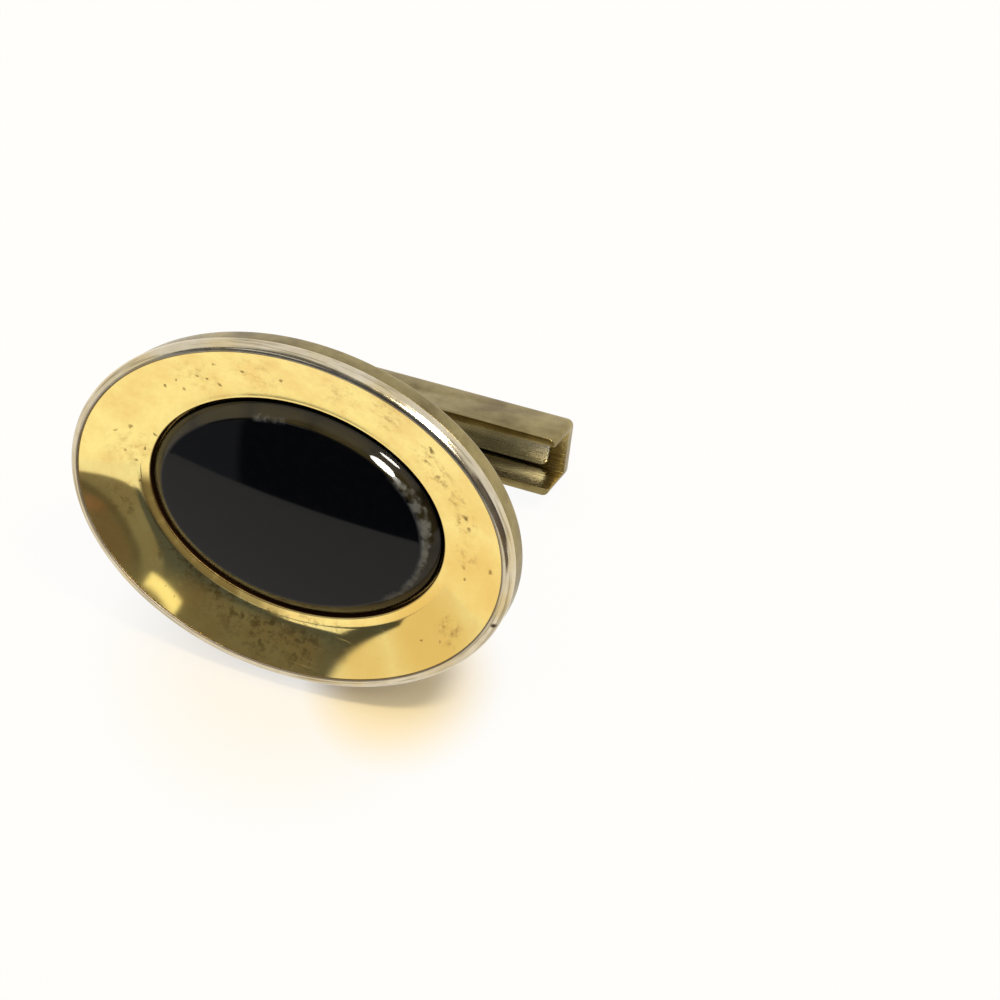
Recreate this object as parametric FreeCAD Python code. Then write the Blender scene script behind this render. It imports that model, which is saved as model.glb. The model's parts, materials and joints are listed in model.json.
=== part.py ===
import FreeCAD, Part
import math
import os

# Oval cufflink: a dished face with a black cabochon, and a swivel bar on a post behind it.
# It is worked in the face's own frame: x along the oval, y up the face, z out of the face.
# Height zero is the plane where the dish meets the bead. Sizes are in millimetres.
# At the end the whole is stood on its lower edge and its bar, as it rests on a table.

Vector = FreeCAD.Vector

# Face outline and what serves every cut
face_length = 24.6
face_width = 18.4
cut_overrun = 1.0
edge_match = 0.02
seat_clearance = 0.03

# Bead around the face
bead_width = 0.55
bead_crown = 0.14
bead_skirt = 0.58
bead_ledge = 0.3
bead_outer_round = 0.46
bead_inner_round = 0.05
groove_round = 0.15

# Dish, a stamped sheet that falls towards the stone
dish_sheet = 0.35
dish_depth = 1.15
dish_sag = 0.03
well_length = 16.44
well_width = 11.6
well_land = 0.55
well_drop = 0.55
well_round = 0.1
slope_shares = (0.0, 0.25, 0.5, 0.75, 1.0)

# Stone, its cement and its cup
stone_gap = 0.12
stone_girdle = 1.16
stone_shoulder = 0.9
stone_dome = 0.34
cement_layer = 0.1
cement_margin = 0.25
cup_clearance = 0.05
cup_wall = 0.3
cup_depth = 1.15
cup_sheet = 0.3

# Back plate, a shallow pan that closes the bead from behind
back_inset = 0.08
back_band = 1.22
back_wall = 0.5
back_round = 0.3
back_shoulder = 0.45
back_sheet = 0.35
back_sag = 0.3
pad_end_margin = 0.4
pad_side_margin = 0.22

# Post with its foot and the squared end that the bar turns on
post_reach = 10.45
post_radius = 1.1
foot_length = 6.0
foot_width = 4.4
foot_sheet = 0.4
foot_round = 0.2
cam_half = 1.2
cam_round = 0.5
cam_side_clearance = 0.06
pin_radius = 0.6
pin_running_clearance = 0.03
pin_press_clearance = 0.01

# Swivel bar, a folded channel with a leaf spring inside
bar_length = 19.2
bar_width = 3.4
bar_wall = 0.42
bar_web = 0.45
bar_reach = 1.1
bar_round = 0.4
spring_gap = 0.02
spring_sheet = 0.2
spring_travel = 0.32
spring_length = 17.2
spring_side_clearance = 0.12
spring_end_clearance = 0.08
spring_land = 1.3

# Half sizes and levels that follow from the values above
face_half = (face_length / 2, face_width / 2)
well_half = (well_length / 2, well_width / 2)
well_bottom = -(dish_depth + well_drop)
cup_floor = well_bottom - cup_depth
cup_bottom = cup_floor - cup_sheet
stone_base = cup_floor + cement_layer
back_level = cup_bottom - back_sheet
band_bottom = -(bead_skirt + back_band)
pivot_level = back_level - post_reach
spring_front = pivot_level - cam_half - spring_gap
spring_back = spring_front - spring_sheet
web_front = spring_back - spring_travel
bar_back = web_front - bar_web
bar_front = pivot_level + bar_reach
channel_width = bar_width - 2 * bar_wall


def grown(half, amount):
    return (half[0] + amount, half[1] + amount)


dish_half = grown(face_half, -bead_width)
rebate_half = grown(dish_half, bead_ledge)
stone_half = grown(well_half, -stone_gap)
cup_inner_half = grown(stone_half, cup_clearance)
cup_outer_half = grown(cup_inner_half, cup_wall)
back_half = grown(face_half, -back_inset)
back_slope_half = grown(back_half, -back_shoulder)
pan_floor_half = (cup_outer_half[0] + pad_end_margin, cup_outer_half[1] + pad_side_margin)
pad_half = grown(pan_floor_half, back_sheet)


def oval_wire(half, level):
    ellipse = Part.Ellipse(Vector(0, 0, level), half[0], half[1])
    return Part.Wire(ellipse.toShape())


def oval_block(half, low, high):
    return Part.Face(oval_wire(half, low)).extrude(Vector(0, 0, high - low))


def oval_bowl(low_half, high_half, low, high, sag):
    # A smooth pan between two ovals, hollowed by the sag halfway up its slope
    sections = []
    for share in slope_shares:
        half = [start + (end - start) * share for start, end in zip(low_half, high_half)]
        level = low + (high - low) * share - sag * 4 * share * (1 - share)
        sections.append(oval_wire(half, level))
    return Part.makeLoft(sections, True, False)


def centred_box(length, width, low, high):
    corner = Vector(-length / 2, -width / 2, low)
    return Part.makeBox(length, width, high - low, corner)


def oval_edges(shape, half, level):
    picked = []
    for edge in shape.Edges:
        box = edge.BoundBox
        flat = abs(box.ZMin - level) < edge_match and abs(box.ZMax - level) < edge_match
        if flat and abs(box.XMax - half[0]) < edge_match:
            picked.append(edge)
    return picked


def rounded(shape, radius, half, level):
    return shape.makeFillet(radius, oval_edges(shape, half, level))


def make_bead():
    ring = oval_block(face_half, -bead_skirt, bead_crown)
    ring = ring.cut(oval_block(dish_half, -bead_skirt - cut_overrun, bead_crown + cut_overrun))
    ring = ring.cut(oval_block(rebate_half, -bead_skirt - cut_overrun, 0))
    ring = rounded(ring, bead_outer_round, face_half, bead_crown)
    ring = rounded(ring, bead_inner_round, dish_half, bead_crown)
    return rounded(ring, groove_round, face_half, -bead_skirt)


def make_dish():
    land_half = grown(well_half, well_land)
    hollow = oval_bowl(land_half, dish_half, -dish_depth, 0, dish_sag)
    sheet = hollow.translated(Vector(0, 0, -dish_sheet))
    flange = oval_block(grown(rebate_half, -seat_clearance), -dish_sheet, 0)
    well_wall = oval_block(grown(well_half, dish_sheet), well_bottom, -dish_depth)
    dish = sheet.fuse([flange, well_wall]).cut(hollow)
    dish = dish.cut(oval_block(well_half, well_bottom - cut_overrun, cut_overrun))
    return rounded(dish.removeSplitter(), well_round, well_half, -dish_depth)


def make_stone():
    # Half section across the narrow way, turned about the middle and stretched along the oval
    radius = stone_half[1]
    girdle_top = stone_base + stone_girdle
    shoulder_top = girdle_top + stone_shoulder
    crown = shoulder_top + stone_dome
    table_radius = radius - stone_shoulder
    bend = math.cos(math.pi / 4)
    outer_bend = Vector(table_radius + stone_shoulder * bend, 0, girdle_top + stone_shoulder * bend)
    corners = [
        Vector(0, 0, stone_base),
        Vector(radius, 0, stone_base),
        Vector(radius, 0, girdle_top),
        Vector(table_radius, 0, shoulder_top),
        Vector(0, 0, crown),
    ]
    dome_radius = (table_radius ** 2 + stone_dome ** 2) / (2 * stone_dome)
    half_way = math.asin(table_radius / dome_radius) / 2
    dome_bend = Vector(dome_radius * math.sin(half_way), 0, crown - dome_radius * (1 - math.cos(half_way)))
    outline = [
        Part.LineSegment(corners[0], corners[1]).toShape(),
        Part.LineSegment(corners[1], corners[2]).toShape(),
        Part.Arc(corners[2], outer_bend, corners[3]).toShape(),
        Part.Arc(corners[3], dome_bend, corners[4]).toShape(),
        Part.LineSegment(corners[4], corners[0]).toShape(),
    ]
    turned = Part.Face(Part.Wire(outline)).revolve(Vector(0, 0, 0), Vector(0, 0, 1), 360)
    stretch = FreeCAD.Matrix()
    stretch.scale(stone_half[0] / radius, 1, 1)
    return turned.transformGeometry(stretch)


def make_cement():
    return oval_block(grown(stone_half, -cement_margin), cup_floor, stone_base)


def make_cup():
    cup = oval_block(cup_outer_half, cup_bottom, well_bottom)
    return cup.cut(oval_block(cup_inner_half, cup_floor, well_bottom + cut_overrun))


def make_back_plate():
    band = oval_block(back_half, band_bottom, -bead_skirt)
    pan = oval_bowl(pad_half, back_slope_half, back_level, band_bottom, back_sag)
    collar = oval_block(grown(rebate_half, -seat_clearance), -bead_skirt, -dish_sheet)
    cavity_half = grown(back_slope_half, -back_sheet)
    cavity = oval_bowl(pan_floor_half, cavity_half, cup_bottom, band_bottom + back_sheet, back_sag)
    throat = oval_block(grown(back_half, -back_wall), band_bottom + back_sheet, -bead_skirt)
    mouth = oval_block(grown(dish_half, seat_clearance), -bead_skirt, -dish_sheet + cut_overrun)
    plate = band.fuse([pan, collar]).cut(Part.makeCompound([cavity, throat, mouth]))
    plate = plate.removeSplitter()
    plate = rounded(plate, groove_round, back_half, -bead_skirt)
    return rounded(plate, back_round, back_half, band_bottom)


def make_foot():
    half = (foot_length / 2, foot_width / 2)
    low = back_level - foot_sheet
    foot = rounded(oval_block(half, low, back_level), foot_round, half, low)
    hole = Part.makeCylinder(post_radius + seat_clearance, foot_sheet + 2 * cut_overrun, Vector(0, 0, low - cut_overrun))
    return foot.cut(hole)


def pin_along_width(radius, width):
    return Part.makeCylinder(radius, width, Vector(0, -width / 2, pivot_level), Vector(0, 1, 0))


def make_post():
    cam_width = channel_width - 2 * cam_side_clearance
    cam = centred_box(2 * cam_half, cam_width, pivot_level - cam_half, pivot_level + cam_half)
    across = [edge for edge in cam.Edges if edge.BoundBox.YLength > cam_width - edge_match]
    cam = cam.makeFillet(cam_round, across)
    shank = Part.makeCylinder(post_radius, post_reach, Vector(0, 0, pivot_level))
    bore = pin_along_width(pin_radius + pin_running_clearance, bar_width)
    return cam.fuse(shank).cut(bore).removeSplitter()


def make_bar():
    bar = centred_box(bar_length, bar_width, bar_back, bar_front)
    soft_edges = [edge for edge in bar.Edges if edge.BoundBox.ZMin < bar_front - edge_match]
    bar = bar.makeFillet(bar_round, soft_edges)
    pocket_length = spring_length + 2 * spring_end_clearance
    relief_length = pocket_length - 2 * spring_land
    channel = centred_box(bar_length + 2 * cut_overrun, channel_width, spring_front, bar_front + cut_overrun)
    pocket = centred_box(pocket_length, channel_width, spring_back, spring_front)
    relief = centred_box(relief_length, channel_width, web_front, spring_back)
    hole = pin_along_width(pin_radius + pin_press_clearance, bar_width + 2 * cut_overrun)
    return bar.cut(channel.fuse([pocket, relief])).cut(hole).removeSplitter()


def make_spring():
    width = channel_width - 2 * spring_side_clearance
    return centred_box(spring_length, width, spring_back, spring_front)


def make_pin():
    return pin_along_width(pin_radius, bar_width)


def standing_matrix():
    # The face leans back until the rounded lower edges of the plate and the bar share one level
    plate_edge = (back_round - back_half[1], band_bottom + back_round)
    bar_edge = (bar_round - bar_width / 2, bar_back + bar_round)
    rise = plate_edge[0] - bar_edge[0]
    run = plate_edge[1] - bar_edge[1]
    lean = math.asin((back_round - bar_round) / math.hypot(rise, run)) - math.atan2(rise, run)
    lift = back_round - plate_edge[0] * math.cos(lean) - plate_edge[1] * math.sin(lean)
    turn = FreeCAD.Matrix()
    turn.rotateX(math.pi / 2 - lean)
    turn.move(Vector(0, 0, lift))
    return turn, lean


def main():
    pieces = {
        "stone": make_stone(),
        "stone_cement": make_cement(),
        "stone_cup": make_cup(),
        "gold_dish": make_dish(),
        "rim_bead": make_bead(),
        "back_plate": make_back_plate(),
        "post_foot": make_foot(),
        "post_stem": make_post(),
        "toggle_bar": make_bar(),
        "leaf_spring": make_spring(),
        "pivot_pin": make_pin(),
    }
    stand, lean = standing_matrix()
    stood = {name: shape.transformed(stand, True) for name, shape in pieces.items()}
    box = Part.makeCompound(list(stood.values())).optimalBoundingBox(False, False)
    centring = FreeCAD.Matrix()
    centring.move(Vector(0, -box.Center.y, 0))
    os.makedirs("parts", exist_ok=True)
    for name, shape in stood.items():
        placed = shape.transformed(centring, True)
        placed.exportStep("parts/" + name + ".step")
        print(name, placed.isValid(), len(placed.Solids), round(placed.Volume, 4))
    pivot = centring.multiply(stand).multVec(Vector(0, 0, pivot_level))
    print("lean in degrees", round(math.degrees(lean), 4))
    print("bar pivot", [round(value, 5) for value in pivot])
    print("box", box)


main()
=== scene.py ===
import json
import math
import bpy
import bmesh
from mathutils import Matrix, Quaternion, Vector


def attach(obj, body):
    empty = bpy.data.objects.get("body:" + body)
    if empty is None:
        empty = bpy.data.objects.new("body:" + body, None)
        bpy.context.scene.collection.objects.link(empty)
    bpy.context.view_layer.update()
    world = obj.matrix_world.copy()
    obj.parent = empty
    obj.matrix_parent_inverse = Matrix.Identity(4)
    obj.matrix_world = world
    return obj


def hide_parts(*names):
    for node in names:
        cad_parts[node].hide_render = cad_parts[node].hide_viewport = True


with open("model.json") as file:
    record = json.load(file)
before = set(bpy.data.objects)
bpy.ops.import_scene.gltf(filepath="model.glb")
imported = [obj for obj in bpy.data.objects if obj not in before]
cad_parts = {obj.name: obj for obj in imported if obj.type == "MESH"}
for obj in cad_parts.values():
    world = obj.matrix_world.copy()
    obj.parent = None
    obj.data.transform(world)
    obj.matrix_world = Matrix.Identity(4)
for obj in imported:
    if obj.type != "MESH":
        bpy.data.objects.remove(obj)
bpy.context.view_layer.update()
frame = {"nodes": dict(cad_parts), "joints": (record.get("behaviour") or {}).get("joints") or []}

mm = 0.001
print("frame loaded,", len(frame["nodes"]), "nodes")

# The face's own frame in mm, from the middle of the dish edge: x along the oval, y up, z out of the face
swivel = frame["joints"][0]
postReach = 13.95        # from the swivel pin to the dish edge plane
faceUp = Vector(swivel["axis"]).normalized()
faceOut = Vector((1, 0, 0)).cross(faceUp)
faceMiddle = Vector(swivel["pos_m"]) + faceOut * postReach * mm
leanTurn = math.atan2(faceUp.z, faceUp.y)
faceFrame = Matrix.Translation(faceMiddle) @ Matrix.Rotation(leanTurn, 4, "X")

# Half lengths and half widths of the ovals that several pieces share
faceHalf = (12.3, 9.2)
dishHalf = (11.75, 8.65)
wellHalf = (8.22, 5.8)
stoneHalf = (8.1, 5.68)
ovalSteps = 288
rodSteps = 64
heightDigits = 7        # heights of edges are told apart to 0.1 micrometre
softSegments = 3
roundSegments = 6
smoothAngle = 40


def toLinear(code):
    parts = [int(code[i:i + 2], 16) / 255 for i in (1, 3, 5)]
    return [p / 12.92 if p <= 0.04045 else ((p + 0.055) / 1.055) ** 2.4 for p in parts] + [1]


def grown(half, amount):
    return (half[0] + amount, half[1] + amount)


def between(low, high, share):
    return [a + (b - a) * share for a, b in zip(low, high)]


# Points of a round from one angle to another, as (grow, height) pairs
def roundPoints(centre, radii, start, end, steps):
    turns = [math.radians(start + (end - start) * i / steps) for i in range(steps + 1)]
    return [(centre[0] + radii[0] * math.cos(t), centre[1] + radii[1] * math.sin(t)) for t in turns]


def ovalRings(half, profile):
    return [(half[0] + grow, half[1] + grow, height) for grow, height in profile]


def startClean():
    if bpy.context.mode != "OBJECT":
        bpy.ops.object.mode_set(mode="OBJECT")
    bpy.ops.object.select_all(action="DESELECT")


# One circle pulled from ring to ring, as on a lathe that turns ovals
def turnOval(name, rings, closed, steps=ovalSteps):
    startClean()
    bpy.ops.mesh.primitive_circle_add(vertices=steps, radius=1)
    piece = bpy.context.object
    piece.name = name
    bpy.ops.object.mode_set(mode="EDIT")
    bpy.ops.mesh.select_all(action="SELECT")
    last = (1, 1, 0)
    for number, ring in enumerate(rings):
        if number:
            bpy.ops.mesh.extrude_edges_move(TRANSFORM_OT_translate={"value": (0, 0, 0)})
        bpy.ops.transform.translate(value=(0, 0, (ring[2] - last[2]) * mm))
        unit = 1 if number else mm
        size = (ring[0] / last[0] * unit, ring[1] / last[1] * unit, 1)
        bpy.ops.transform.resize(value=size, center_override=(0, 0, ring[2] * mm))
        last = ring
    if closed:
        bpy.ops.mesh.select_all(action="DESELECT")
        bpy.ops.mesh.select_non_manifold()
        bpy.ops.mesh.bridge_edge_loops()
    else:
        closePoles(piece)
    bpy.ops.mesh.select_all(action="SELECT")
    bpy.ops.mesh.normals_make_consistent(inside=False)
    return piece


# Both open ends are drawn together to a point in the middle
def closePoles(piece):
    for side in (0, -1):
        mesh = bmesh.from_edit_mesh(piece.data)
        openEdges = [e for e in mesh.edges if e.is_boundary]
        heights = sorted({round(e.verts[0].co.z, heightDigits) for e in openEdges})
        pickEdges(piece, lambda e: e.is_boundary and round(e.verts[0].co.z, heightDigits) == heights[side])
        bpy.ops.mesh.extrude_edges_move(TRANSFORM_OT_translate={"value": (0, 0, 0)})
        bpy.ops.mesh.merge(type="CENTER")


def pickEdges(piece, wanted):
    if bpy.context.mode != "EDIT_MESH":
        bpy.ops.object.mode_set(mode="EDIT")
    bpy.ops.mesh.select_mode(type="EDGE")
    bpy.ops.mesh.select_all(action="DESELECT")
    mesh = bmesh.from_edit_mesh(piece.data)
    for edge in mesh.edges:
        edge.select_set(wanted(edge))
    bmesh.update_edit_mesh(piece.data)


def addBlock(name, length, width, low, high):
    startClean()
    bpy.ops.mesh.primitive_cube_add(size=1, location=(0, 0, (low + high) / 2 * mm),
                                    scale=(length * mm, width * mm, (high - low) * mm))
    piece = bpy.context.object
    piece.name = name
    bpy.ops.object.transform_apply(location=True, rotation=True, scale=True)
    return piece


# A rod across the bar, at the swivel
def addRod(name, radius, width):
    startClean()
    bpy.ops.mesh.primitive_cylinder_add(vertices=rodSteps, radius=radius * mm, depth=width * mm,
                                        location=(0, 0, -postReach * mm), rotation=(math.pi / 2, 0, 0))
    piece = bpy.context.object
    piece.name = name
    bpy.ops.object.transform_apply(location=True, rotation=True, scale=True)
    return piece


def joinShapes(piece, tool, operation):
    startClean()
    bpy.context.view_layer.objects.active = piece
    piece.select_set(True)
    change = piece.modifiers.new(operation, "BOOLEAN")
    change.operation = operation
    change.solver = "EXACT"
    change.object = tool
    bpy.ops.object.modifier_apply(modifier=change.name)
    bpy.data.objects.remove(tool)


def softenEdges(piece, width, limit):
    startClean()
    bpy.context.view_layer.objects.active = piece
    piece.select_set(True)
    soft = piece.modifiers.new("soft edges", "BEVEL")
    soft.width = width * mm
    soft.segments = softSegments
    soft.limit_method = "ANGLE"
    soft.angle_limit = math.radians(limit)
    bpy.ops.object.modifier_apply(modifier=soft.name)


# Stands a finished piece in the leaning frame and hands it to its body
def finishPiece(piece, body, node, angle=smoothAngle):
    startClean()
    bpy.context.view_layer.objects.active = piece
    piece.select_set(True)
    piece.matrix_world = faceFrame
    bpy.ops.object.transform_apply(location=True, rotation=True, scale=True)
    bpy.ops.object.shade_smooth_by_angle(angle=math.radians(angle))
    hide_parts(node)
    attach(piece, body)
    print("made", piece.name, len(piece.data.polygons), "faces")
    return piece


# Stone: flat base, rounded edge, soft bevel and low dome. Each arc has its radius and slopes in degrees
stone = {"base": -2.75, "baseEdge": 0.1, "baseInset": 3.0, "girdleTop": -1.405,
         "arcs": [(0.3, 90, 46), (2.4, 46, 28), (0.5, 28, 8)], "arcSteps": 14, "domeSteps": 30,
         "domeEnd": 89.9, "smooth": 60}


def makeStone():
    s = stone
    profile = [(-s["baseInset"], s["base"]), (-s["baseEdge"], s["base"]), (0, s["base"] + s["baseEdge"]),
               (0, s["girdleTop"])]
    for radius, start, end in s["arcs"]:
        grow, height = profile[-1]
        turn = math.radians(start)
        centre = (grow - radius * math.sin(turn), height - radius * math.cos(turn))
        profile += roundPoints(centre, (radius, radius), 90 - start, 90 - end, s["arcSteps"])[1:]
    grow, height = profile[-1]
    rings = ovalRings(stoneHalf, profile)
    tableHalf = grown(stoneHalf, grow)
    radius = tableHalf[1] / math.sin(math.radians(end))
    middle = (0, height - radius * math.cos(math.radians(end)))
    for reach, level in roundPoints(middle, (radius, radius), 90 - end, s["domeEnd"], s["domeSteps"])[1:]:
        rings.append((reach * tableHalf[0] / tableHalf[1], reach, level))
    piece = turnOval("stone_cabochon", rings, False)
    return finishPiece(piece, "face", "stone", angle=s["smooth"])


# Dish: falls from the bead to a nearly flat land with a crease around it, then a lip and the well's wall
dish = {"depth": 1.15, "land": 0.55, "landCurve": 0.008, "hollow": 1.15, "lipRound": 0.1, "wellBottom": -1.7,
        "sheet": 0.35, "flange": 0.27, "slopeSteps": 44, "landSteps": 8, "landPower": 4, "lipSteps": 16,
        "underSteps": 8, "smooth": 9}


def makeDish():
    d = dish
    landHalf = grown(wellHalf, d["land"])
    lipHalf = grown(wellHalf, d["lipRound"])

    def land(share):
        half = between(lipHalf, landHalf, share)
        return half[0], half[1], d["landCurve"] * share ** d["landPower"] - d["depth"]

    def slope(share):
        half = between(landHalf, dishHalf, share)
        return half[0], half[1], land(1)[2] * (1 - share ** d["hollow"])

    rings = ovalRings(dishHalf, [(d["flange"], 0)])
    rings += [slope(1 - i / d["slopeSteps"]) for i in range(d["slopeSteps"] + 1)]
    rings += [land(1 - i / d["landSteps"]) for i in range(1, d["landSteps"])]
    rings += ovalRings(wellHalf, roundPoints((d["lipRound"], -d["depth"] - d["lipRound"]),
                                             (d["lipRound"], d["lipRound"]), 90, 180, d["lipSteps"]))
    underTop = -d["depth"] - d["sheet"]
    rings += ovalRings(wellHalf, [(0, d["wellBottom"]), (d["sheet"], d["wellBottom"]),
                                  (d["sheet"], underTop)])
    for i in range(d["underSteps"] + 1):
        x, y, z = slope(i / d["underSteps"])
        rings.append((x, y, z - d["sheet"]))
    rings += ovalRings(dishHalf, [(d["flange"], -d["sheet"])])
    piece = turnOval("gold_dish_sheet", rings, True)
    return finishPiece(piece, "face", "gold_dish", angle=d["smooth"])


# Bead: a ring with a broad round outside, and a sharp step down to the dish
bead = {"width": 0.55, "crown": 0.14, "skirt": 0.58, "ledge": 0.3, "outer": 0.46, "inner": 0.05,
        "groove": 0.15, "bed": -0.01, "grooveSteps": 8, "outerSteps": 24, "innerSteps": 6}


def makeBead():
    b = bead
    profile = [(b["ledge"] - b["width"], -b["skirt"])]
    profile += roundPoints((-b["groove"], b["groove"] - b["skirt"]), (b["groove"], b["groove"]), 270, 360,
                           b["grooveSteps"])
    profile += roundPoints((-b["outer"], b["crown"] - b["outer"]), (b["outer"], b["outer"]), 0, 90,
                           b["outerSteps"])
    profile += roundPoints((b["inner"] - b["width"], b["crown"] - b["inner"]), (b["inner"], b["inner"]), 90,
                           180, b["innerSteps"])
    profile += [(-b["width"], b["bed"]), (b["ledge"] - b["width"], b["bed"])]
    piece = turnOval("rim_bead_ring", ovalRings(faceHalf, profile), True)
    return finishPiece(piece, "face", "rim_bead")


# Back plate: a band under the bead, closed by a shallow pan
back = {"inset": 0.08, "bandTop": -0.58, "bandBottom": -1.8, "wall": 0.5, "round": 0.3, "groove": 0.15,
        "shoulder": 0.45, "collar": (-0.44, -0.2), "collarTop": -0.35, "pad": (9.2, 6.6), "level": -3.5,
        "sheet": 0.35, "sag": 0.3, "padMiddle": (4, 2.9), "slopeSteps": 18, "grooveSteps": 8,
        "roundSteps": 10}


def makeBack():
    b = back
    bandHalf = grown(faceHalf, -b["inset"])
    shoulderHalf = grown(bandHalf, -b["shoulder"])

    def pan(low, high, bottom, top):
        rings = []
        for i in range(b["slopeSteps"] + 1):
            share = i / b["slopeSteps"]
            half = between(low, high, share)
            # The sag is a parabola, deepest half-way
            level = bottom + (top - bottom) * share - b["sag"] * 4 * share * (1 - share)
            rings.append((half[0], half[1], level))
        return rings

    inner, outer = b["collar"]
    throat = grown(bandHalf, -b["wall"])
    floorLevel, throatLow = b["level"] + b["sheet"], b["bandBottom"] + b["sheet"]
    rings = ovalRings(b["padMiddle"], [(0, floorLevel)])
    rings += pan(grown(b["pad"], -b["sheet"]), grown(shoulderHalf, -b["sheet"]), floorLevel, throatLow)
    rings += ovalRings(throat, [(0, throatLow), (0, b["bandTop"])])
    rings += ovalRings(bandHalf, [(inner, b["bandTop"]), (inner, b["collarTop"]), (outer, b["collarTop"]),
                                  (outer, b["bandTop"])])
    rings += ovalRings(bandHalf, roundPoints((-b["groove"], b["bandTop"] - b["groove"]),
                                             (b["groove"], b["groove"]), 90, 0, b["grooveSteps"]))
    rings += ovalRings(bandHalf, roundPoints((-b["round"], b["bandBottom"] + b["round"]),
                                             (b["round"], b["round"]), 0, -90, b["roundSteps"]))
    rings += reversed(pan(b["pad"], shoulderHalf, b["level"], b["bandBottom"]))
    rings += ovalRings(b["padMiddle"], [(0, b["level"])])
    piece = turnOval("back_plate_pan", rings, False)
    return finishPiece(piece, "face", "back_plate")


# Post: an oval foot with a ring of solder, a round shank and a squared end
post = {"footHalf": (3.0, 2.2), "footTop": -3.5, "footSheet": 0.4, "footRound": 0.2, "radius": 1.1,
        "seat": 0.03, "solder": 0.35, "camHalf": 1.2, "camWidth": 2.44, "camRound": 0.5, "bore": 0.63,
        "shankChamfer": 0.05, "turnSteps": 96, "footSteps": 8, "solderSteps": 10, "camSegments": 8}


def makeFoot():
    p = post
    low = p["footTop"] - p["footSheet"]
    hole = (p["radius"] + p["seat"], p["radius"] + p["seat"])
    rings = ovalRings(hole, [(0, p["footTop"])]) + ovalRings(p["footHalf"], [(0, p["footTop"])])
    rings += ovalRings(p["footHalf"], roundPoints((-p["footRound"], low + p["footRound"]),
                                                  (p["footRound"], p["footRound"]), 0, -90, p["footSteps"]))
    rings += ovalRings(hole, roundPoints((p["solder"], low - p["solder"]), (p["solder"], p["solder"]), 90,
                                         180, p["solderSteps"]))
    piece = turnOval("post_foot_plate", rings, True, steps=p["turnSteps"])
    return finishPiece(piece, "face", "post_foot")


def makePost():
    p = post
    piece = addBlock("post_stem_turned", 2 * p["camHalf"], p["camWidth"], -postReach - p["camHalf"],
                     -postReach + p["camHalf"])
    pickEdges(piece, lambda e: abs(e.verts[0].co.y - e.verts[1].co.y) > p["camHalf"] * mm)
    bpy.ops.mesh.bevel(offset=p["camRound"] * mm, segments=p["camSegments"], affect="EDGES")
    chamfer = p["shankChamfer"]
    shankProfile = [(-chamfer, p["footTop"]), (0, p["footTop"] - chamfer), (0, -postReach)]
    shank = turnOval("shank", ovalRings((p["radius"], p["radius"]), shankProfile), False,
                     steps=p["turnSteps"])
    joinShapes(piece, shank, "UNION")
    joinShapes(piece, addRod("bore", p["bore"], 2 * p["camWidth"]), "DIFFERENCE")
    return finishPiece(piece, "face", "post_stem")


# Swivel bar: a folded channel with a pocket for its leaf spring, and a peened pin through it
bar = {"length": 19.2, "width": 3.4, "back": -16.14, "front": -12.85, "round": 0.4, "channel": 2.56,
       "floor": -15.37, "relief": -15.69, "hole": 0.61, "pocket": 17.36, "land": 1.3, "edge": 0.07,
       "edgeAngle": 50, "overrun": 1.0}
spring = {"length": 17.2, "width": 2.32, "front": -15.17, "sheet": 0.2, "corner": 0.5, "edge": 0.04,
          "edgeAngle": 60}
pin = {"radius": 0.6, "peen": 0.05, "dome": 0.16}


def makeBar():
    b = bar
    piece = addBlock("toggle_bar_channel", b["length"], b["width"], b["back"], b["front"])
    pickEdges(piece, lambda e: min(v.co.z for v in e.verts) < (b["front"] - b["round"]) * mm)
    bpy.ops.mesh.bevel(offset=b["round"] * mm, segments=roundSegments, affect="EDGES")
    lap = b["edge"]
    cuts = [(b["length"] + 2 * b["overrun"], spring["front"], b["front"] + b["overrun"]),
            (b["pocket"], b["floor"], spring["front"] + lap),
            (b["pocket"] - 2 * b["land"], b["relief"], b["floor"] + lap)]
    for length, low, high in cuts:
        joinShapes(piece, addBlock("cut", length, b["channel"], low, high), "DIFFERENCE")
    joinShapes(piece, addRod("hole", b["hole"], b["width"] + 2 * b["overrun"]), "DIFFERENCE")
    softenEdges(piece, b["edge"], b["edgeAngle"])
    return finishPiece(piece, "toggle", "toggle_bar")


def makeSpring():
    s = spring
    piece = addBlock("leaf_spring_strip", s["length"], s["width"], s["front"] - s["sheet"], s["front"])
    pickEdges(piece, lambda e: abs(e.verts[0].co.z - e.verts[1].co.z) > s["sheet"] / 2 * mm)
    bpy.ops.mesh.bevel(offset=s["corner"] * mm, segments=roundSegments, affect="EDGES")
    softenEdges(piece, s["edge"], s["edgeAngle"])
    return finishPiece(piece, "toggle", "leaf_spring")


def makePin():
    piece = addRod("pivot_pin_rivet", pin["radius"], bar["width"] + 2 * pin["peen"])
    pickEdges(piece, lambda e: abs(e.verts[0].co.y - e.verts[1].co.y) < bar["edge"] * mm)
    bpy.ops.mesh.bevel(offset=pin["dome"] * mm, segments=roundSegments, affect="EDGES")
    return finishPiece(piece, "toggle", "pivot_pin")


# Adds a node. An input is a plain value, a socket, or a node that gives the first output it has in use
def addNode(tree, kind, inputs=None, stops=None, **settings):
    node = tree.nodes.new(kind)
    for key, value in settings.items():
        setattr(node, key, value)
    for socket, value in (inputs or {}).items():
        if isinstance(value, bpy.types.Node):
            value = next(output for output in value.outputs if not output.is_unavailable)
        if isinstance(value, bpy.types.NodeSocket):
            tree.links.new(value, node.inputs[socket])
        else:
            node.inputs[socket].default_value = value
    if stops:
        ramp = node.color_ramp
        while len(ramp.elements) < len(stops):
            ramp.elements.new(0.5)
        for element, (place, code) in zip(ramp.elements, stops):
            element.position = place
            element.color = toLinear(code)
    return node


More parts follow.
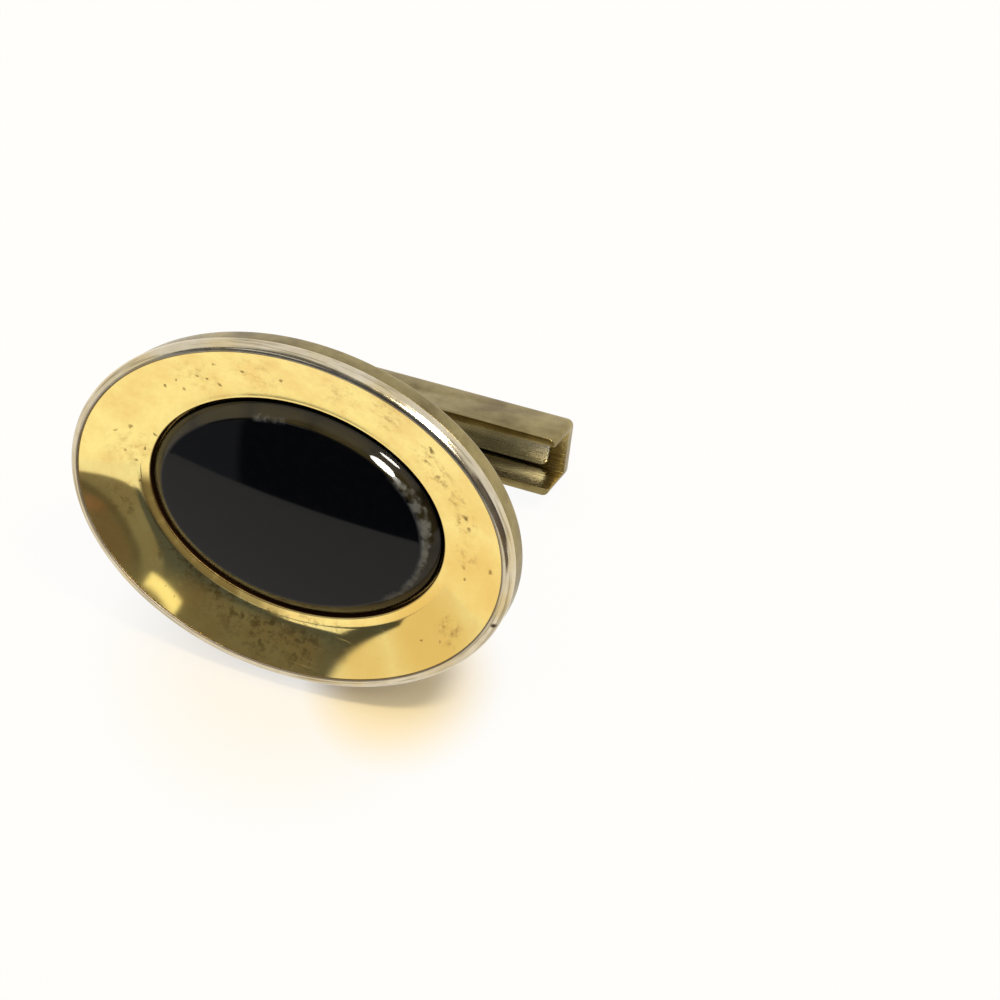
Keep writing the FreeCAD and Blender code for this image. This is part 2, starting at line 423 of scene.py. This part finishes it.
def newMaterial(name):
    material = bpy.data.materials.new(name)
    material.use_nodes = True
    material.node_tree.nodes.clear()
    return material, material.node_tree


def finishMaterial(tree, inputs):
    shader = addNode(tree, "ShaderNodeBsdfPrincipled", inputs)
    addNode(tree, "ShaderNodeOutputMaterial", {"Surface": shader})


# Object coordinates brought into the face's own frame, so that 1 is a millimetre
def faceCoordinates(tree):
    place = addNode(tree, "ShaderNodeTexCoord")
    return addNode(tree, "ShaderNodeMapping", {"Vector": place.outputs["Object"], "Location": faceMiddle,
                                               "Rotation": (leanTurn, 0, 0), "Scale": (mm, mm, mm)},
                   vector_type="TEXTURE")


zoneCoreShare = 0.25        # a zone has its full strength up to this share of its radius


# Soft round zones, each (x, y, radius, strength) in mm, the strongest one counts
def zoneMask(tree, place, zones):
    flat = addNode(tree, "ShaderNodeVectorMath", {0: place, 1: (1, 1, 0)}, operation="MULTIPLY")
    total = None
    for x, y, radius, strength in zones:
        far = addNode(tree, "ShaderNodeVectorMath", {0: flat, 1: (x, y, 0)}, operation="DISTANCE")
        near = addNode(tree, "ShaderNodeMapRange", {"Value": far, "From Min": radius * zoneCoreShare,
                                                    "From Max": radius, "To Min": strength, "To Max": 0},
                       interpolation_type="SMOOTHSTEP")
        if total is None:
            total = near
        else:
            total = addNode(tree, "ShaderNodeMath", {0: total, 1: near}, operation="MAXIMUM")
    return total


# Zones that a texture breaks up: they show where it is past its edge, a pair (none, full)
def raggedZones(tree, place, zones, texture, edge):
    shown = addNode(tree, "ShaderNodeMapRange", {"Value": texture, "From Min": edge[0], "From Max": edge[1]},
                    interpolation_type="SMOOTHSTEP")
    return addNode(tree, "ShaderNodeMath", {0: shown, 1: zoneMask(tree, place, zones)}, operation="MULTIPLY")


# 1 where both values are past their edges, each edge a pair (none, full)
def bothPast(tree, first, firstEdge, second, secondEdge):
    masks = []
    for value, (none, full) in ((first, firstEdge), (second, secondEdge)):
        masks.append(addNode(tree, "ShaderNodeMapRange", {"Value": value, "From Min": none, "From Max": full},
                             interpolation_type="SMOOTHSTEP"))
    return addNode(tree, "ShaderNodeMath", {0: masks[0], 1: masks[1]}, operation="MULTIPLY")


# 1 on the oval with these halves, more outside it
def ovalShare(tree, place, half):
    reach = addNode(tree, "ShaderNodeVectorMath", {0: place, 1: (1 / half[0], 1 / half[1], 0)},
                    operation="MULTIPLY")
    return addNode(tree, "ShaderNodeVectorMath", {0: reach}, operation="LENGTH")


# Colours laid one over another, each (mask, colour)
def layered(tree, colour, layers):
    for mask, code in layers:
        colour = addNode(tree, "ShaderNodeMix", {"Factor": mask, "A": colour, "B": toLinear(code)},
                         data_type="RGBA")
    return colour


# A roughness, and what each mask adds to it
def roughened(tree, rough, masks):
    for mask, more in masks:
        rough = addNode(tree, "ShaderNodeMath", {0: mask, 1: more, 2: rough}, operation="MULTIPLY_ADD")
    return rough


# Polished gold plate: a yellow mirror, a little cloudy, with small dark pits where the plating broke
# and a thin brown film where it was handled. Sizes and zones in mm
gold = {"tones": [(0.36, "#F5D583"), (0.6, "#FFEA96")], "honey": "#E9C064", "film": "#A98449",
        "recess": "#86713F", "pit": "#6B4A22", "seamDark": "#3B2413", "dust": "#B5AA8C", "cloudSize": 2.4,
        "filmSize": 0.45, "waveSize": 2.0, "waveHeight": 0.003, "pitDepth": 0.02, "pitRelief": 0.3,
        "ragged": 0.3, "stir": 0.1, "dustSpacing": 0.55, "dustRadius": 0.065, "dustShare": 0.3,
        "scratchLength": 3, "scratchWidth": 0.1, "scratchTurn": -24, "lip": (1.013, 1.002),
        "recessRim": (1.1, 1.07), "recessEdge": (0.08, 0.34), "filmEdge": (0.44, 0.7),
        "bottomDarkEdge": (0.46, 0.62), "dustEdge": (-0.03, 0.05), "scuffEdge": (0.6, 0.72), "roughness": 0.06,
        "filmRough": 0.14, "scuffRough": 0.2, "wornRough": 0.5,
        "filmZones": [(6.9, 5.1, 1.1, 0.7), (7.7, 4.2, 1.1, 0.8), (8.7, 3.3, 1.0, 0.7), (9.3, 2.2, 1.0, 1),
                      (9.5, 0.4, 1.0, 0.5), (9.2, -3.8, 1.1, 0.8), (-5.5, 6.1, 1.7, 0.3),
                      (-2.4, 7.0, 1.8, 0.35), (2.2, 7.1, 1.6, 0.4), (4.7, 6.75, 1.3, 0.5),
                      (-9.3, 0.9, 1.8, 0.4)],
        "bottomDarkZones": [(-6.6, -4.2, 1.4, 0.8), (-5.6, -5.2, 1.4, 1), (-4.3, -6.0, 1.5, 1),
                       (-2.8, -6.6, 1.7, 1), (-1.0, -7.1, 2.0, 0.9), (1.2, -7.2, 1.9, 0.8),
                       (3.2, -6.6, 1.2, 0.5), (-9.6, -2.2, 1.6, 0.4)],
        "honeyZones": [(8.2, -4.6, 4.2, 0.9), (5.0, -7.0, 2.6, 0.7), (10.2, -0.5, 3.4, 0.5),
                       (9.4, 3.4, 2.4, 0.4)],
        "recessZones": [(-8.4, -1.4, 1.3, 1), (-8.0, -2.4, 1.9, 1), (-7.2, -3.6, 2.0, 1),
                        (-6.2, -4.5, 2.0, 1), (-5.0, -5.2, 2.0, 1), (-3.6, -5.8, 2.0, 1),
                        (-2.2, -6.1, 1.8, 0.8), (-1.0, -6.2, 1.4, 0.5)],
        "pits": [(-7.3, 5.1, 0.14, 0.8), (-6.7, 5.6, 0.11, 0.7), (-5.6, 6.1, 0.12, 0.7),
                 (-5.1, 6.0, 0.13, 0.7), (-4.5, 5.8, 0.12, 0.7), (-4.6, 7.1, 0.12, 0.6),
                 (-6.4, 5.1, 0.1, 0.6), (-3.1, 7.0, 0.12, 0.6), (-1.1, 7.0, 0.14, 0.6),
                 (-9.3, 2.2, 0.13, 0.6), (-10, 1.9, 0.11, 0.5), (-8.6, 1.05, 0.13, 0.6), (-9, 0.3, 0.12, 0.6),
                 (-8.8, -0.9, 0.12, 0.6), (-8.05, 2, 0.1, 0.5), (-9.6, 0.8, 0.11, 0.5), (7.3, 5.7, 0.22, 0.7),
                 (6.9, 4.8, 0.16, 0.5), (7.6, 4.2, 0.16, 0.5), (9.3, 2.5, 0.22, 0.7), (9.5, 1.9, 0.2, 0.6),
                 (9.4, -0.3, 0.18, 0.4), (9.6, -0.9, 0.12, 0.7), (11, 0.2, 0.2, 0.6),
                 (7.75, -4.95, 0.12, 0.6), (8.85, -4.6, 0.11, 0.5)],
        "dustZones": [(-6.0, -5.8, 1.2, 0.4), (-4.9, -7.0, 0.8, 0.35), (-2.4, -6.5, 1.6, 0.3),
                      (-0.2, -7.0, 0.8, 0.35), (3.6, -6.4, 1.4, 0.3)],
        "scuffs": [(4.6, -6.2, 2.0, 1), (1.4, -7.6, 1.5, 0.6)]}


def goldPlate():
    g = gold
    material, tree = newMaterial("polished gold plate")
    place = faceCoordinates(tree)
    cloud = addNode(tree, "ShaderNodeTexNoise", {"Vector": place, "Scale": 1 / g["cloudSize"], "Detail": 6,
                                                 "Roughness": 0.7})
    colour = addNode(tree, "ShaderNodeValToRGB", {"Fac": cloud}, g["tones"])
    smear = addNode(tree, "ShaderNodeTexNoise", {"Vector": place, "Scale": 1 / g["filmSize"], "Detail": 6,
                                                 "Roughness": 0.68})
    handled = raggedZones(tree, place, g["filmZones"], smear, g["filmEdge"])
    # The land beside the stone is painted darker brown at the lower left, and the dish below it darker in
    # mottled spots
    wellShare = ovalShare(tree, place, wellHalf)
    recess = bothPast(tree, wellShare, g["recessRim"], smear, g["recessEdge"])
    recess = addNode(tree, "ShaderNodeMath", {0: recess, 1: zoneMask(tree, place, g["recessZones"])},
                     operation="MULTIPLY")
    bottomDark = raggedZones(tree, place, g["bottomDarkZones"], smear, g["bottomDarkEdge"])
    landAndBottomDark = addNode(tree, "ShaderNodeMath", {0: recess, 1: bottomDark}, operation="MAXIMUM")
    # film also gathers the darker land and bottom, which are rougher too
    film = addNode(tree, "ShaderNodeMath", {0: handled, 1: landAndBottomDark}, operation="MAXIMUM")
    # Pits with ragged edges, at their own places
    stirred = addNode(tree, "ShaderNodeTexNoise", {"Vector": place, "Scale": 1 / g["ragged"], "Detail": 3},
                      normalize=False)
    shifted = addNode(tree, "ShaderNodeVectorMath", {0: stirred.outputs["Color"],
                                                     1: (g["stir"], g["stir"], 0), 2: place},
                      operation="MULTIPLY_ADD")
    pits = zoneMask(tree, shifted, g["pits"])
    # Specks of dust, in a share of the cells of a loose pattern
    cells = addNode(tree, "ShaderNodeTexVoronoi", {"Vector": place, "Scale": 1 / g["dustSpacing"]},
                    voronoi_dimensions="2D")
    chance = addNode(tree, "ShaderNodeSeparateColor", {"Color": cells.outputs["Color"]})
    size = addNode(tree, "ShaderNodeMapRange", {"Value": chance, "From Min": 1 - g["dustShare"],
                                                "From Max": 1, "To Min": 0,
                                                "To Max": g["dustRadius"] / g["dustSpacing"]})
    inside = addNode(tree, "ShaderNodeMath", {0: size, 1: cells}, operation="SUBTRACT")
    dust = raggedZones(tree, place, g["dustZones"], inside, g["dustEdge"])
    # The lip beside the stone is painted dark brown
    seamDark = addNode(tree, "ShaderNodeMapRange", {"Value": wellShare, "From Min": g["lip"][0],
                                                "From Max": g["lip"][1]}, interpolation_type="SMOOTHSTEP")
    honeyed = zoneMask(tree, place, g["honeyZones"])
    colour = layered(tree, colour, [(honeyed, g["honey"]), (handled, g["film"]), (landAndBottomDark, g["recess"]),
                                    (pits, g["pit"]), (dust, g["dust"]), (seamDark, g["seamDark"])])
    drawn = addNode(tree, "ShaderNodeMapping", {"Vector": place,
                                                "Rotation": (0, 0, math.radians(g["scratchTurn"])),
                                                "Scale": (1 / g["scratchLength"], 1 / g["scratchWidth"], 1)})
    lines = addNode(tree, "ShaderNodeTexNoise", {"Vector": drawn, "Scale": 1, "Detail": 2})
    scratches = raggedZones(tree, place, g["scuffs"], lines, g["scuffEdge"])
    worn = addNode(tree, "ShaderNodeMath", {0: pits, 1: dust}, operation="MAXIMUM")
    worn = addNode(tree, "ShaderNodeMath", {0: worn, 1: seamDark}, operation="MAXIMUM")
    rough = roughened(tree, g["roughness"], [(film, g["filmRough"]), (scratches, g["scuffRough"]),
                                             (worn, g["wornRough"])])
    # The pressed sheet isn't quite even, so reflections waver a little
    wave = addNode(tree, "ShaderNodeTexNoise", {"Vector": place, "Scale": 1 / g["waveSize"], "Detail": 1})
    uneven = addNode(tree, "ShaderNodeBump", {"Height": wave, "Strength": 1,
                                              "Distance": g["waveHeight"] * mm})
    relief = addNode(tree, "ShaderNodeBump", {"Height": pits, "Normal": uneven, "Strength": g["pitRelief"],
                                              "Distance": g["pitDepth"] * mm}, invert=True)
    finishMaterial(tree, {"Metallic": 1, "Base Color": colour, "Roughness": rough, "Normal": relief})
    return material


# White metal with the last of its gold wash: warm silver, half polished, painted dark in the seam beside the
# dish
beadMetal = {"tones": [(0.34, "#CDBFA2"), (0.62, "#E0D5BC")], "wash": "#D6BE84", "seamDark": "#4A3A30",
             "olive": "#8C8060", "patch": 2.2, "washPatch": 3.5, "washEdge": (0.5, 0.66), "washShare": 0.6,
             "streakLength": 4, "streakWidth": 0.12, "streakEdge": (0.48, 0.64), "streakShare": 0.7,
             "seamEdge": (1.012, 1.003), "seamShare": 0.75, "chips": [(11.65, -2.45, 0.2, 1)], "haze": 0.8,
             "hazeEdge": (0.3, 0.7), "roughness": 0.1, "hazeRough": 0.08, "seamDarkRough": 0.4}


def wornBead():
    b = beadMetal
    material, tree = newMaterial("worn white metal bead")
    place = faceCoordinates(tree)
    patches = addNode(tree, "ShaderNodeTexNoise", {"Vector": place, "Scale": 1 / b["patch"], "Detail": 6,
                                                   "Roughness": 0.65})
    colour = addNode(tree, "ShaderNodeValToRGB", {"Fac": patches}, b["tones"])
    large = addNode(tree, "ShaderNodeTexNoise", {"Vector": place, "Scale": 1 / b["washPatch"], "Detail": 4})
    # Old wash stays in fine streaks along the bead
    along = addNode(tree, "ShaderNodeMath", {0: ovalShare(tree, place, faceHalf),
                                             1: faceHalf[0] * b["streakLength"] / b["streakWidth"]},
                    operation="MULTIPLY")
    streaks = addNode(tree, "ShaderNodeTexNoise", {"Vector": place, "W": along,
                                                   "Scale": 1 / b["streakLength"], "Detail": 3,
                                                   "Roughness": 0.6}, noise_dimensions="4D")
    fromDish = ovalShare(tree, place, dishHalf)
    masks = []
    for value, name in ((large, "wash"), (streaks, "streak"), (fromDish, "seam")):
        none, full = b[name + "Edge"]
        masks.append(addNode(tree, "ShaderNodeMapRange", {"Value": value, "From Min": none, "From Max": full,
                                                          "To Max": b[name + "Share"]},
                             interpolation_type="SMOOTHSTEP"))
    # The seam beside the dish is painted dark and rough, and the chips are dark marks
    seamDarkAndChips = addNode(tree, "ShaderNodeMath", {0: masks[2], 1: zoneMask(tree, place, b["chips"])},
                     operation="MAXIMUM")
    colour = layered(tree, colour, [(masks[0], b["wash"]), (masks[1], b["olive"]), (seamDarkAndChips, b["seamDark"])])
    haze = addNode(tree, "ShaderNodeTexNoise", {"Vector": place, "Scale": 1 / b["haze"], "Detail": 3})
    rough = addNode(tree, "ShaderNodeMapRange", {"Value": haze, "From Min": b["hazeEdge"][0],
                                                 "From Max": b["hazeEdge"][1], "To Min": b["roughness"],
                                                 "To Max": b["roughness"] + b["hazeRough"]})
    rough = roughened(tree, rough, [(seamDarkAndChips, b["seamDarkRough"])])
    finishMaterial(tree, {"Metallic": 1, "Base Color": colour, "Roughness": rough})
    return material


# Polished black onyx: deep black, clean reflections, chalky where the bevel was knocked and rubbed,
# and a painted olive reflection of the gold dish on the bevel. The painted reflection and the rubbed ring lie
# between heights in mm
onyx = {"tones": [(0.4, "#010102"), (0.7, "#040404")], "olive": "#3A341F", "chalk": "#969A9B",
        "chalkShare": 0.4, "roughness": 0.04, "chalkRough": 0.5, "ior": 1.32, "grain": 0.5, "rub": 0.42,
        "wander": 0.34, "rubEdge": (0.32, 0.62), "goldReflectionTop": (-0.69, -0.74), "goldReflectionFoot": (-1.25, -1.1),
        "rubTop": (-0.675, -0.7), "rubFoot": (-0.69, -0.58),
        "broad": [(6.5, 2.3, 1.7, 0.2), (7.1, 1.2, 1.2, 0.14)],
        "goldReflectionZones": [(-6.8, 2.4, 2.6, 0.9), (-4.2, 4.3, 3, 1), (-1, 5.2, 3, 1), (2.5, 4.9, 3, 1),
                  (5.2, 3.7, 2.6, 0.9), (7.4, 1.5, 2.2, 0.5), (7.6, -1, 2.2, 0.4), (6.6, -3, 2, 0.45),
                  (3.6, -4.9, 3, 0.5), (0, -5.5, 3, 0.4), (-3.6, -4.8, 3, 0.5), (-6.6, -2.8, 2.6, 0.6),
                  (-7.8, 0.2, 2.2, 0.8)],
        "rubs": [(5.9, 3.0, 1.2, 0.5), (6.7, 2.2, 1.2, 0.7), (7.2, 1.3, 1.0, 0.9), (7.4, 0.2, 1.0, 1),
                 (7.3, -0.8, 0.9, 0.9), (6.8, -1.9, 0.9, 0.6), (6.0, -2.9, 0.9, 0.4), (-1.9, 4.7, 0.6, 0.8),
                 (-1.0, 4.8, 0.5, 0.5)]}


def blackOnyx():
    o = onyx
    material, tree = newMaterial("polished black onyx")
    place = faceCoordinates(tree)
    grain = addNode(tree, "ShaderNodeTexNoise", {"Vector": place, "Scale": 1 / o["grain"], "Detail": 5})
    colour = addNode(tree, "ShaderNodeValToRGB", {"Fac": grain}, o["tones"])
    ragged = addNode(tree, "ShaderNodeTexNoise", {"Vector": place, "Scale": 1 / o["rub"], "Detail": 4,
                                                  "Roughness": 0.58})
    # The olive haze is a painted reflection of the gold dish on the bevel. The rubbing follows the bevel's
    # upper edge, with a ragged lower side
    height = addNode(tree, "ShaderNodeSeparateXYZ", {"Vector": place}).outputs["Z"]
    haze = bothPast(tree, height, o["goldReflectionTop"], height, o["goldReflectionFoot"])
    haze = addNode(tree, "ShaderNodeMath", {0: haze, 1: zoneMask(tree, place, o["goldReflectionZones"])},
                   operation="MULTIPLY")
    wavy = addNode(tree, "ShaderNodeMath", {0: ragged, 1: o["wander"], 2: height}, operation="MULTIPLY_ADD")
    wider = addNode(tree, "ShaderNodeMath", {0: wavy, 1: zoneMask(tree, place, o["broad"])}, operation="ADD")
    ring = bothPast(tree, height, o["rubTop"], wider, o["rubFoot"])
    rubs = raggedZones(tree, place, o["rubs"], ragged, o["rubEdge"])
    rubbed = addNode(tree, "ShaderNodeMath", {0: rubs, 1: ring}, operation="MULTIPLY")
    chalky = addNode(tree, "ShaderNodeMath", {0: rubbed, 1: o["chalkShare"]}, operation="MULTIPLY")
    # haze is the painted olive reflection of the gold dish, chalky is the real rubbing
    colour = layered(tree, colour, [(haze, o["olive"]), (chalky, o["chalk"])])
    rough = roughened(tree, o["roughness"], [(rubbed, o["chalkRough"])])
    finishMaterial(tree, {"IOR": o["ior"], "Base Color": colour, "Roughness": rough})
    return material


# Metals of the back and the inside, and the cement: two tones in patches, with drawn lines along the piece
plain = {
    "worn gilt brass": {"tones": [(0.36, "#746540"), (0.6, "#A09162")], "metallic": 1, "roughness": 0.2,
                        "patch": 3.0, "line": 0.08},
    "rolled spring steel": {"tones": [(0.36, "#A9ACAE"), (0.6, "#CFD1D2")], "metallic": 1, "roughness": 0.2,
                            "patch": 2.5, "line": 0.05},
    "raw stamped brass": {"tones": [(0.36, "#9C7B41"), (0.6, "#C8A765")], "metallic": 1, "roughness": 0.35,
                          "patch": 0.8, "line": 0.1},
    "setting cement": {"tones": [(0.36, "#AA9A7A"), (0.6, "#D0C2A5")], "metallic": 0, "roughness": 0.75,
                       "patch": 0.3, "line": 0.2},
}
drawnLines = {"length": 6, "edge": (0.35, 0.68), "rough": 0.16, "relief": 0.15, "depth": 0.01}


def plainFinish(name):
    p, d = plain[name], drawnLines
    material, tree = newMaterial(name)
    place = faceCoordinates(tree)
    patches = addNode(tree, "ShaderNodeTexNoise", {"Vector": place, "Scale": 1 / p["patch"], "Detail": 6,
                                                   "Roughness": 0.62})
    colour = addNode(tree, "ShaderNodeValToRGB", {"Fac": patches}, p["tones"])
    drawn = addNode(tree, "ShaderNodeMapping", {"Vector": place,
                                                "Scale": (1 / d["length"], 1 / p["line"], 1 / p["line"])})
    lines = addNode(tree, "ShaderNodeTexNoise", {"Vector": drawn, "Scale": 1, "Detail": 3})
    rough = addNode(tree, "ShaderNodeMapRange", {"Value": lines, "From Min": d["edge"][0],
                                                 "From Max": d["edge"][1], "To Min": p["roughness"],
                                                 "To Max": p["roughness"] + d["rough"]})
    relief = addNode(tree, "ShaderNodeBump", {"Height": lines, "Strength": d["relief"],
                                              "Distance": d["depth"] * mm})
    finishMaterial(tree, {"Metallic": p["metallic"], "Base Color": colour, "Roughness": rough,
                          "Normal": relief})
    return material


def dress(piece, material):
    piece.data.materials.clear()
    piece.data.materials.append(material)


dress(makeStone(), blackOnyx())
dress(makeDish(), goldPlate())
dress(makeBead(), wornBead())
gilt = plainFinish("worn gilt brass")
for makePiece in (makeBack, makeFoot, makePost, makeBar):
    dress(makePiece(), gilt)
steel = plainFinish("rolled spring steel")
for makePiece in (makeSpring, makePin):
    dress(makePiece(), steel)
frame["nodes"]["stone_cup"].material_slots[0].material = plainFinish("raw stamped brass")
frame["nodes"]["stone_cement"].material_slots[0].material = plainFinish("setting cement")
print("pieces and materials done")

# Floor: white, mostly at its own brightness for the camera and for mirrors, and still taking the shadow. Its
# warm colour is painted light from the gold above it, seen in the shadow. Its own part is small under the
# rim, in zones in mm.
table = {"colour": "#FFE8B0", "own": 0.94, "mirrorOwn": 0.85, "size": 3.0,
         "shadowZones": [(5.8, -7.6, 6.5, 0.85), (0, -8, 12, 0.25)]}
startClean()
bpy.ops.mesh.primitive_plane_add(size=table["size"], location=(0, 0, 0))
floor = bpy.context.object
floor.name = "white_table"
material, tree = newMaterial("white table")
path = addNode(tree, "ShaderNodeLightPath")
mirrored = addNode(tree, "ShaderNodeMath", {0: path.outputs["Is Glossy Ray"],
                                            1: path.outputs["Is Transmission Ray"]}, operation="MAXIMUM")
spot = addNode(tree, "ShaderNodeTexCoord")
spot = addNode(tree, "ShaderNodeVectorMath", {0: spot.outputs["Object"], "Scale": 1 / mm}, operation="SCALE")
shadow = zoneMask(tree, spot, table["shadowZones"])
own = addNode(tree, "ShaderNodeMath", {0: table["own"], 1: shadow}, operation="SUBTRACT")
forCamera = addNode(tree, "ShaderNodeMath", {0: path.outputs["Is Camera Ray"], 1: own}, operation="MULTIPLY")
forMirrors = addNode(tree, "ShaderNodeMath", {0: mirrored, 1: table["mirrorOwn"]}, operation="MULTIPLY")
seen = addNode(tree, "ShaderNodeMath", {0: forCamera, 1: forMirrors}, operation="MAXIMUM")
matte = addNode(tree, "ShaderNodeBsdfDiffuse", {"Color": toLinear(table["colour"])})
glow = addNode(tree, "ShaderNodeEmission", {"Color": (1, 1, 1, 1), "Strength": 1})
mixed = addNode(tree, "ShaderNodeMixShader", {"Fac": seen, 1: matte, 2: glow})
addNode(tree, "ShaderNodeOutputMaterial", {"Surface": mixed})
dress(floor, material)

# Room: pale all round, with a dark part behind the camera and a few cards in it. Angles are in degrees,
# side 0 is the front (-Y) and grows towards +X. lean shifts a card sideways for each degree of rise,
# tilt lifts it for each degree of side.
roomPale = (0.92, 0.92, 0.92, 1)
cards = [
    {"name": "dark part", "side": (-42.5, 48), "rise": (-5, 56), "tint": "#DAE6FF", "level": 0.11,
     "soft": 1.0},
    {"name": "dark right part", "side": (40, 76), "rise": (7, 44), "tint": "#F0E0E4", "level": 0.12,
     "soft": 2},
    {"name": "brown door", "side": (10.5, 48), "rise": (-5, 40), "lean": 0.24, "tint": "#FFEBDC",
     "level": 0.14, "soft": 0.8},
    {"name": "red mark", "side": (14, 18), "rise": (12.5, 18), "tint": "#FFD0C0", "level": 0.2, "soft": 2},
    {"name": "door edge", "side": (12.5, 14.3), "rise": (-5, 41), "lean": 0.28, "tint": "#F6F0E6",
     "level": 0.1, "soft": 0.5},
    {"name": "olive strip", "side": (-2, 13.1), "rise": (-5, 41), "lean": 0.28, "tint": "#FFFAF2",
     "level": 0.205, "soft": 0.5},
    {"name": "shade beside it", "side": (-30, 5.0), "rise": (-5, 56), "lean": 0.12, "tint": "#DAE6FF",
     "level": 0.11, "soft": 0.5},
    {"name": "dim ceiling edge", "side": (-40, 30), "rise": (38, 60), "tint": "#F4ECE0", "level": 0.17,
     "soft": 5},
    {"name": "grey wall", "side": (-40, -27), "rise": (-5, 14), "lean": 0.12, "tint": "#F0F4FF", "level": 0.4,
     "soft": 0.6},
    {"name": "low wall", "side": (-8, 9), "rise": (-5, 8.6), "tint": "#FFFFFF", "level": 0.92, "soft": 0.5},
    {"name": "low wall right", "side": (8.5, 30), "rise": (-20, 1.3), "tilt": 0.69, "tint": "#FFFFFF",
     "level": 0.92, "soft": 0.5},
    {"name": "left wall", "side": (-80, -36), "rise": (-60, 34), "tilt": 1, "tint": "#FFFFFF", "level": 0.92,
     "soft": 0.6},
    {"name": "left card", "side": (-34.5, -22.5), "rise": (22.5, 31), "lean": 0.4, "tint": "#FFFFFF",
     "level": 0.95, "soft": 0.7},
    {"name": "window", "side": (-3, 6), "rise": (41, 44), "tilt": 0.75, "tint": "#FFF6DC", "level": 1.1,
     "soft": 0.4},
]
world = bpy.data.worlds.new("studio")
bpy.context.scene.world = world
world.use_nodes = True
tree = world.node_tree
tree.nodes.clear()
look = addNode(tree, "ShaderNodeTexCoord")
axes = addNode(tree, "ShaderNodeSeparateXYZ", {"Vector": look.outputs["Generated"]})
front = addNode(tree, "ShaderNodeMath", {0: axes.outputs["Y"], 1: -1}, operation="MULTIPLY")
side = addNode(tree, "ShaderNodeMath", {0: axes.outputs["X"], 1: front}, operation="ARCTAN2")
rise = addNode(tree, "ShaderNodeMath", {0: axes.outputs["Z"]}, operation="ARCSINE")


# 1 between two angles in degrees, with soft ends. A share of the other angle, from its middle, slants them
def stretchMask(angle, ends, other, slant, otherEnds, soft):
    slanted = addNode(tree, "ShaderNodeMath", {0: other, 1: slant, 2: angle}, operation="MULTIPLY_ADD")
    low, high = [end + slant * sum(otherEnds) / 2 for end in ends]
    lowEdge = [math.radians(low - soft), math.radians(low + soft)]
    highEdge = [math.radians(high + soft), math.radians(high - soft)]
    return bothPast(tree, slanted, lowEdge, slanted, highEdge)


shade = roomPale
for card in cards:
    across = stretchMask(side, card["side"], rise, card.get("lean", 0), card["rise"], card["soft"])
    upright = stretchMask(rise, card["rise"], side, card.get("tilt", 0), card["side"], card["soft"])
    shape = addNode(tree, "ShaderNodeMath", {0: across, 1: upright}, operation="MULTIPLY")
    paint = [part * card["level"] for part in toLinear(card["tint"])[:3]] + [1]
    shade = addNode(tree, "ShaderNodeMix", {"Factor": shape, "A": shade, "B": paint}, data_type="RGBA",
                    label=card["name"])
path = addNode(tree, "ShaderNodeLightPath")
shown = addNode(tree, "ShaderNodeMix", {"Factor": path.outputs["Is Camera Ray"], "A": shade,
                                        "B": (1, 1, 1, 1)}, data_type="RGBA")
glow = addNode(tree, "ShaderNodeBackground", {"Color": shown, "Strength": 1})
addNode(tree, "ShaderNodeOutputWorld", {"Surface": glow})
print("floor and room done")

# Lamps: a soft key from the right and behind, and two high in front that only mirrors see, for the two
# strips of light on the stone's bevel. Sizes in m, power in W, roll in degrees.
lamps = [
    {"name": "rear key", "side": 106, "rise": 63, "distance": 0.6, "size": (0.06, 0.15), "roll": 0,
     "watts": 1.4, "tint": "#FFF6EA", "lights": True},
    {"name": "front lamp", "side": 19, "rise": 55, "distance": 0.6, "size": (0.14, 0.15), "roll": -30,
     "watts": 3.2, "tint": "#FFFCF4", "lights": False},
    {"name": "side lamp", "side": 55, "rise": 66.5, "distance": 0.6, "size": (0.13, 0.055), "roll": -60,
     "watts": 1.0, "tint": "#FFFCF4", "lights": False},
]
for lamp in lamps:
    a, e = math.radians(lamp["side"]), math.radians(lamp["rise"])
    away = Vector((math.sin(a) * math.cos(e), -math.cos(a) * math.cos(e), math.sin(e)))
    light = bpy.data.lights.new(lamp["name"], "AREA")
    light.shape = "ELLIPSE"
    light.size, light.size_y = lamp["size"]
    light.energy = lamp["watts"]
    light.color = toLinear(lamp["tint"])[:3]
    holder = bpy.data.objects.new(lamp["name"], light)
    bpy.context.scene.collection.objects.link(holder)
    holder.location = away * lamp["distance"]
    holder.rotation_mode = "QUATERNION"
    roll = Quaternion((0, 0, 1), math.radians(lamp["roll"]))
    holder.rotation_quaternion = away.to_track_quat("Z", "Y") @ roll
    holder.visible_diffuse = lamp["lights"]
print("lamps done")

# Camera at the photo's angle, in mm
camera = {"focal": 79.2, "sensor": 36, "place": (40.299, -59.1162, 96.458),
          "right": (0.92431, 0.37481, -0.07193), "down": (0.26137, -0.75899, -0.59634)}
eye = bpy.data.objects.new("camera", bpy.data.cameras.new("camera"))
bpy.context.scene.collection.objects.link(eye)
eye.data.lens = camera["focal"]
eye.data.sensor_width = camera["sensor"]
eye.data.clip_start = mm
right, up = Vector(camera["right"]).normalized(), -Vector(camera["down"]).normalized()
turn = Matrix((right, up, right.cross(up))).transposed().to_4x4()
eye.matrix_world = Matrix.Translation(Vector(camera["place"]) * mm) @ turn
bpy.context.scene.camera = eye
bpy.context.scene.view_settings.view_transform = "Standard"
print("camera done")
